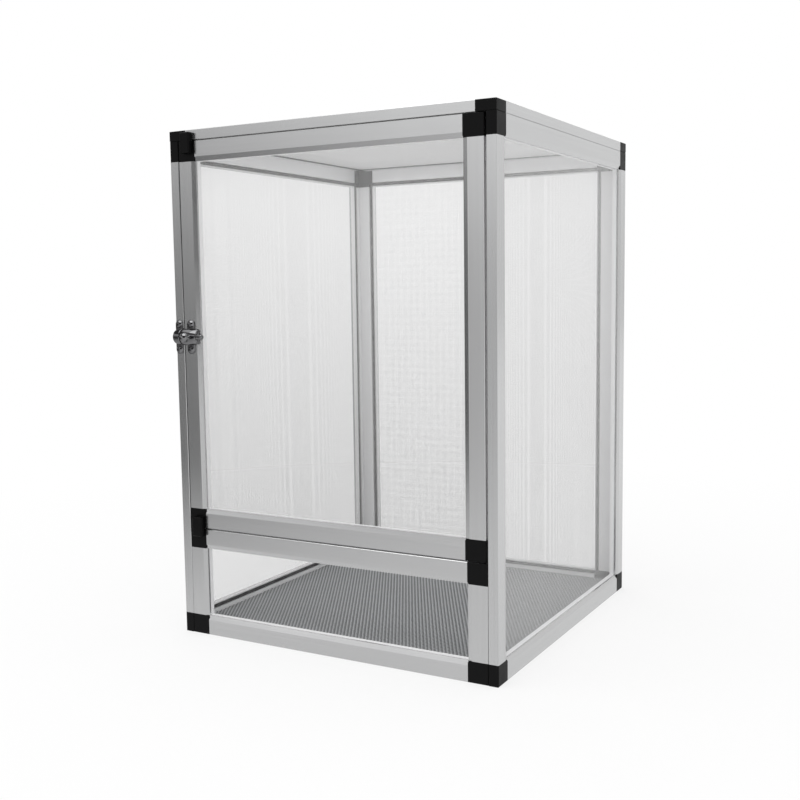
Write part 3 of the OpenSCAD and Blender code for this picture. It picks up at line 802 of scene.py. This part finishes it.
rod_out = ROD_Y - FACE_Y
rod_x = ends("bolt_rod")
keeper_x = sum(ends("keeper_screws")) / 2
barrel_x = sum(ends("barrel_screws")) / 2
keeper_ends, barrel_ends = ends("bolt_keeper"), ends("bolt_barrel")
socket_x = rod_x[0] - TRAVEL - SOCKET_ROOM
socket = box_shape((socket_x, rod_out - SOCKET_R, -SOCKET_R),
                   (socket_x + 2 * TRAVEL, SOCKET_R, SOCKET_R))
bore_x = (barrel_ends[0] - THROUGH, barrel_ends[1] + THROUGH)
bore = turned([(bore_x[0], 0), (bore_x[0], BORE_R), (bore_x[1], BORE_R), (bore_x[1], 0)], 40)
moved(bore, Matrix.Translation((0, rod_out, 0)))
slot_r = STEM_R + STEM_ROOM
slot = box_shape((KNOB_X - TRAVEL - slot_r, -2 * BULGE_R, -slot_r),
                 (KNOB_X + slot_r, rod_out, slot_r))

for name, work, body in (
    ("bolt_keeper", casting(*keeper_ends, keeper_x, socket), "frame"),
    ("keeper_screws", screw_pair(keeper_x, (12, 63)), "frame"),
    ("bolt_barrel", casting(*barrel_ends, barrel_x, bore, slot), "door"),
    ("barrel_screws", screw_pair(barrel_x, (38, 81)), "door"),
    ("bolt_rod", rod(*rod_x), "bolt"),
    ("bolt_knob", knob(), "bolt"),
):
    piece(name + "_plated", shell(work, CHROME_SOFT), CHROME, body, "bolt_chrome", name)


# Floor, backdrop, light

# What the bright metal sees: a white studio that gets dark to the left, a lighter and then a
# dark strip of wall under a bright ceiling, a dark doorway in front on the right, and a sweep
# that is pale near the cage and ends in the studio's tones. A reach is where something starts
# and where it is complete: a share of the way to the left or up, or metres on the sweep.
DARK_REACH = (0.15, 0.8)
DARK_LEVELS = (1.0, 0.12)
WALL_REACH = (0.0, 0.25)
WALL_LIFT = 1.4
WALL_RIGHT = (-0.2, 0.2, 0.25, 1)   # reach, and the share of the lift at its two ends
WALL_LEFT = (0.4, 0.66, 1, 0.6)
DARK_STRIP = (0.34, 0.46)
DARK_STRIP_SHARE = 0.1
CEILING_REACH = (0.66, 0.78)
CEILING_LEVEL = 1.5
DOORWAY_SIDE = (0.407, -0.914, 0)   # level direction to the doorway's middle
DOORWAY_REACH = (0.85, 0.915)
DOORWAY_SHARE = 0.03
BRIGHTEST = 1.5
SWEEP_MIDDLE = (0.14, -0.15, 0)
SWEEP_REACH = (0.35, 1.3)
SWEEP_SIZE = 6.0
NEAR_REACH = (0.1, -0.3)
NEAR_LEVELS = (0.83, 1.0)
CAGE_MIDDLE_Y = 0.0095
FOOT_REACH = (0.15, 0.16)           # the cage's own shade on the sweep ends here
SHADOW_REACH = (0.3, 0.9)           # where its soft shadow fades to white
SHADOW_SHARES = (0.75, 1.0)
PAPER = 0.92
ROOM_PAINT = 0.8                    # share of all these levels that the room gives back
DIFFUSE_ROOM = 0.75                 # level of the room for all that isn't mirrored

# The photo's viewpoint, from a fit to the cage's edges: azimuth, elevation and roll in
# degrees, place in metres, lens and film in millimetres
CAMERA_TURN = (29.213, 6.021, 0.7613)
CAMERA_PLACE = (0.496392, -0.907072, 0.318839)
CAMERA_LENS = 48.177
CAMERA_FILM = 36


def from_axis(tree):
    """How far a place is from the middle of the cage, measured square to its sides."""
    place = place_in(tree, shift=(0, -CAGE_MIDDLE_Y, 0))
    axes = axes_of(tree, vector_figure(tree, "ABSOLUTE", place))
    return figure(tree, "MAXIMUM", axes["X"], axes["Y"])


def either(tree, choice, no, yes):
    n = tree.nodes.new("ShaderNodeMixShader")
    for socket, source in zip(n.inputs, (choice, no, yes)):
        tree.links.new(source, socket)
    return n.outputs[0]


def white_light(tree, kind, level=1.0):
    return add(tree, kind, Color=(1, 1, 1, 1), Strength=level).outputs[0]


def white_sweep():
    """Pale sweep: white to the camera away from the object, with its soft shadow near it."""
    m = bpy.data.materials.new("white_sweep")
    m.use_nodes = True
    tree = m.node_tree
    tree.nodes.clear()
    out = tree.nodes.new("ShaderNodeOutputMaterial")
    paths = tree.nodes.new("ShaderNodeLightPath")

    place = place_in(tree, shift=[-c for c in SWEEP_MIDDLE])
    left = along(tree, place, (-1, 0, 0))
    reach = vector_figure(tree, "LENGTH", place)
    near = span(tree, left, *NEAR_REACH, *NEAR_LEVELS)
    far = span(tree, figure(tree, "DIVIDE", left, reach), *DARK_REACH, *DARK_LEVELS)
    farther = figure(tree, "MULTIPLY", span(tree, reach, *SWEEP_REACH, 0, 1),
                     figure(tree, "SUBTRACT", far, near))
    mirrored = add(tree, "ShaderNodeEmission", Color=(1, 1, 1, 1))
    tree.links.new(figure(tree, "ADD", near, farther), mirrored.inputs["Strength"])

    away = vector_figure(tree, "LENGTH", place_in(tree))
    share = figure(tree, "MULTIPLY", paths.outputs["Is Camera Ray"],
                   span(tree, away, *SHADOW_REACH, *SHADOW_SHARES))
    share = figure(tree, "MULTIPLY", share, span(tree, from_axis(tree), *FOOT_REACH, 0, 1))
    paper = add(tree, "ShaderNodeBsdfDiffuse", Color=(*grey(PAPER), 1)).outputs[0]
    seen = either(tree, share, paper, white_light(tree, "ShaderNodeEmission"))
    tree.links.new(either(tree, paths.outputs["Is Glossy Ray"], seen, mirrored.outputs[0]),
                   out.inputs["Surface"])
    return m


def studio_floor():
    bm = bmesh.new()
    bmesh.ops.create_grid(bm, x_segments=1, y_segments=1, size=SWEEP_SIZE)
    mesh = bpy.data.meshes.new("studio_floor")
    bm.to_mesh(mesh)
    bm.free()
    mesh.materials.append(white_sweep())
    obj = bpy.data.objects.new("studio_floor", mesh)
    bpy.context.scene.collection.objects.link(obj)


def studio_world():
    """White to the camera, even for soft light, and the studio's tones for what is mirrored."""
    world = bpy.data.worlds.new("studio")
    bpy.context.scene.world = world
    world.use_nodes = True
    tree = world.node_tree
    tree.nodes.clear()
    out = tree.nodes.new("ShaderNodeOutputWorld")
    paths = tree.nodes.new("ShaderNodeLightPath")
    direction = tree.nodes.new("ShaderNodeTexCoord").outputs["Generated"]
    left = along(tree, direction, (-1, 0, 0))
    height = along(tree, direction, (0, 0, 1))

    def times(a, b):
        return figure(tree, "MULTIPLY", a, b)

    level = span(tree, left, *DARK_REACH, *DARK_LEVELS)
    wall = times(span(tree, height, *WALL_REACH, 0, WALL_LIFT),
                 times(span(tree, left, *WALL_RIGHT), span(tree, left, *WALL_LEFT)))
    level = figure(tree, "ADD", level, wall)
    level = times(level, span(tree, height, *DARK_STRIP, 1, DARK_STRIP_SHARE))
    flat = figure(tree, "SUBTRACT", 1, times(height, height))
    flat = figure(tree, "SQRT", figure(tree, "MAXIMUM", flat, 0.01), 0)
    doorway = figure(tree, "DIVIDE", along(tree, direction, DOORWAY_SIDE), flat)
    level = times(level, span(tree, doorway, *DOORWAY_REACH, 1, DOORWAY_SHARE))
    ceiling = span(tree, height, *CEILING_REACH, 0, CEILING_LEVEL)
    level = figure(tree, "MAXIMUM", level, ceiling)
    room = add(tree, "ShaderNodeBackground", Color=(*grey(ROOM_PAINT), 1))
    tree.links.new(figure(tree, "MINIMUM", level, BRIGHTEST), room.inputs["Strength"])

    lit = either(tree, paths.outputs["Is Glossy Ray"],
                 white_light(tree, "ShaderNodeBackground", DIFFUSE_ROOM), room.outputs[0])
    tree.links.new(either(tree, paths.outputs["Is Camera Ray"], lit,
                          white_light(tree, "ShaderNodeBackground")), out.inputs["Surface"])


def softbox(name, place, target, size, power):
    light = bpy.data.lights.new(name, "AREA")
    light.shape = "RECTANGLE"
    light.size, light.size_y = size
    light.energy = power
    obj = bpy.data.objects.new(name, light)
    obj.location = place
    obj.rotation_euler = (Vector(target) - Vector(place)).to_track_quat("-Z", "Y").to_euler()
    bpy.context.scene.collection.objects.link(obj)


def studio_camera():
    azimuth, elevation, roll = (math.radians(a) for a in CAMERA_TURN)
    back = Vector((math.sin(azimuth) * math.cos(elevation),
                   -math.cos(azimuth) * math.cos(elevation), math.sin(elevation)))
    right = Vector((math.cos(azimuth), math.sin(azimuth), 0))
    up = back.cross(right)
    x = right * math.cos(roll) - up * math.sin(roll)
    y = right * math.sin(roll) + up * math.cos(roll)
    data = bpy.data.cameras.new("photo_view")
    data.sensor_width = CAMERA_FILM
    data.sensor_fit = "HORIZONTAL"
    data.lens = CAMERA_LENS
    data.clip_start, data.clip_end = 0.05, 30
    camera = bpy.data.objects.new("photo_view", data)
    place = Matrix((x, y, back)).transposed().to_4x4()
    place.translation = Vector(CAMERA_PLACE)
    camera.matrix_world = place
    bpy.context.scene.collection.objects.link(camera)
    bpy.context.scene.camera = camera


studio_floor()
studio_world()
studio_camera()
softbox("softbox_top", (-0.1, -0.5, 2.4), (0, 0, 0.2), (2.4, 2.4), 26)

bpy.context.scene.view_settings.view_transform = "Standard"
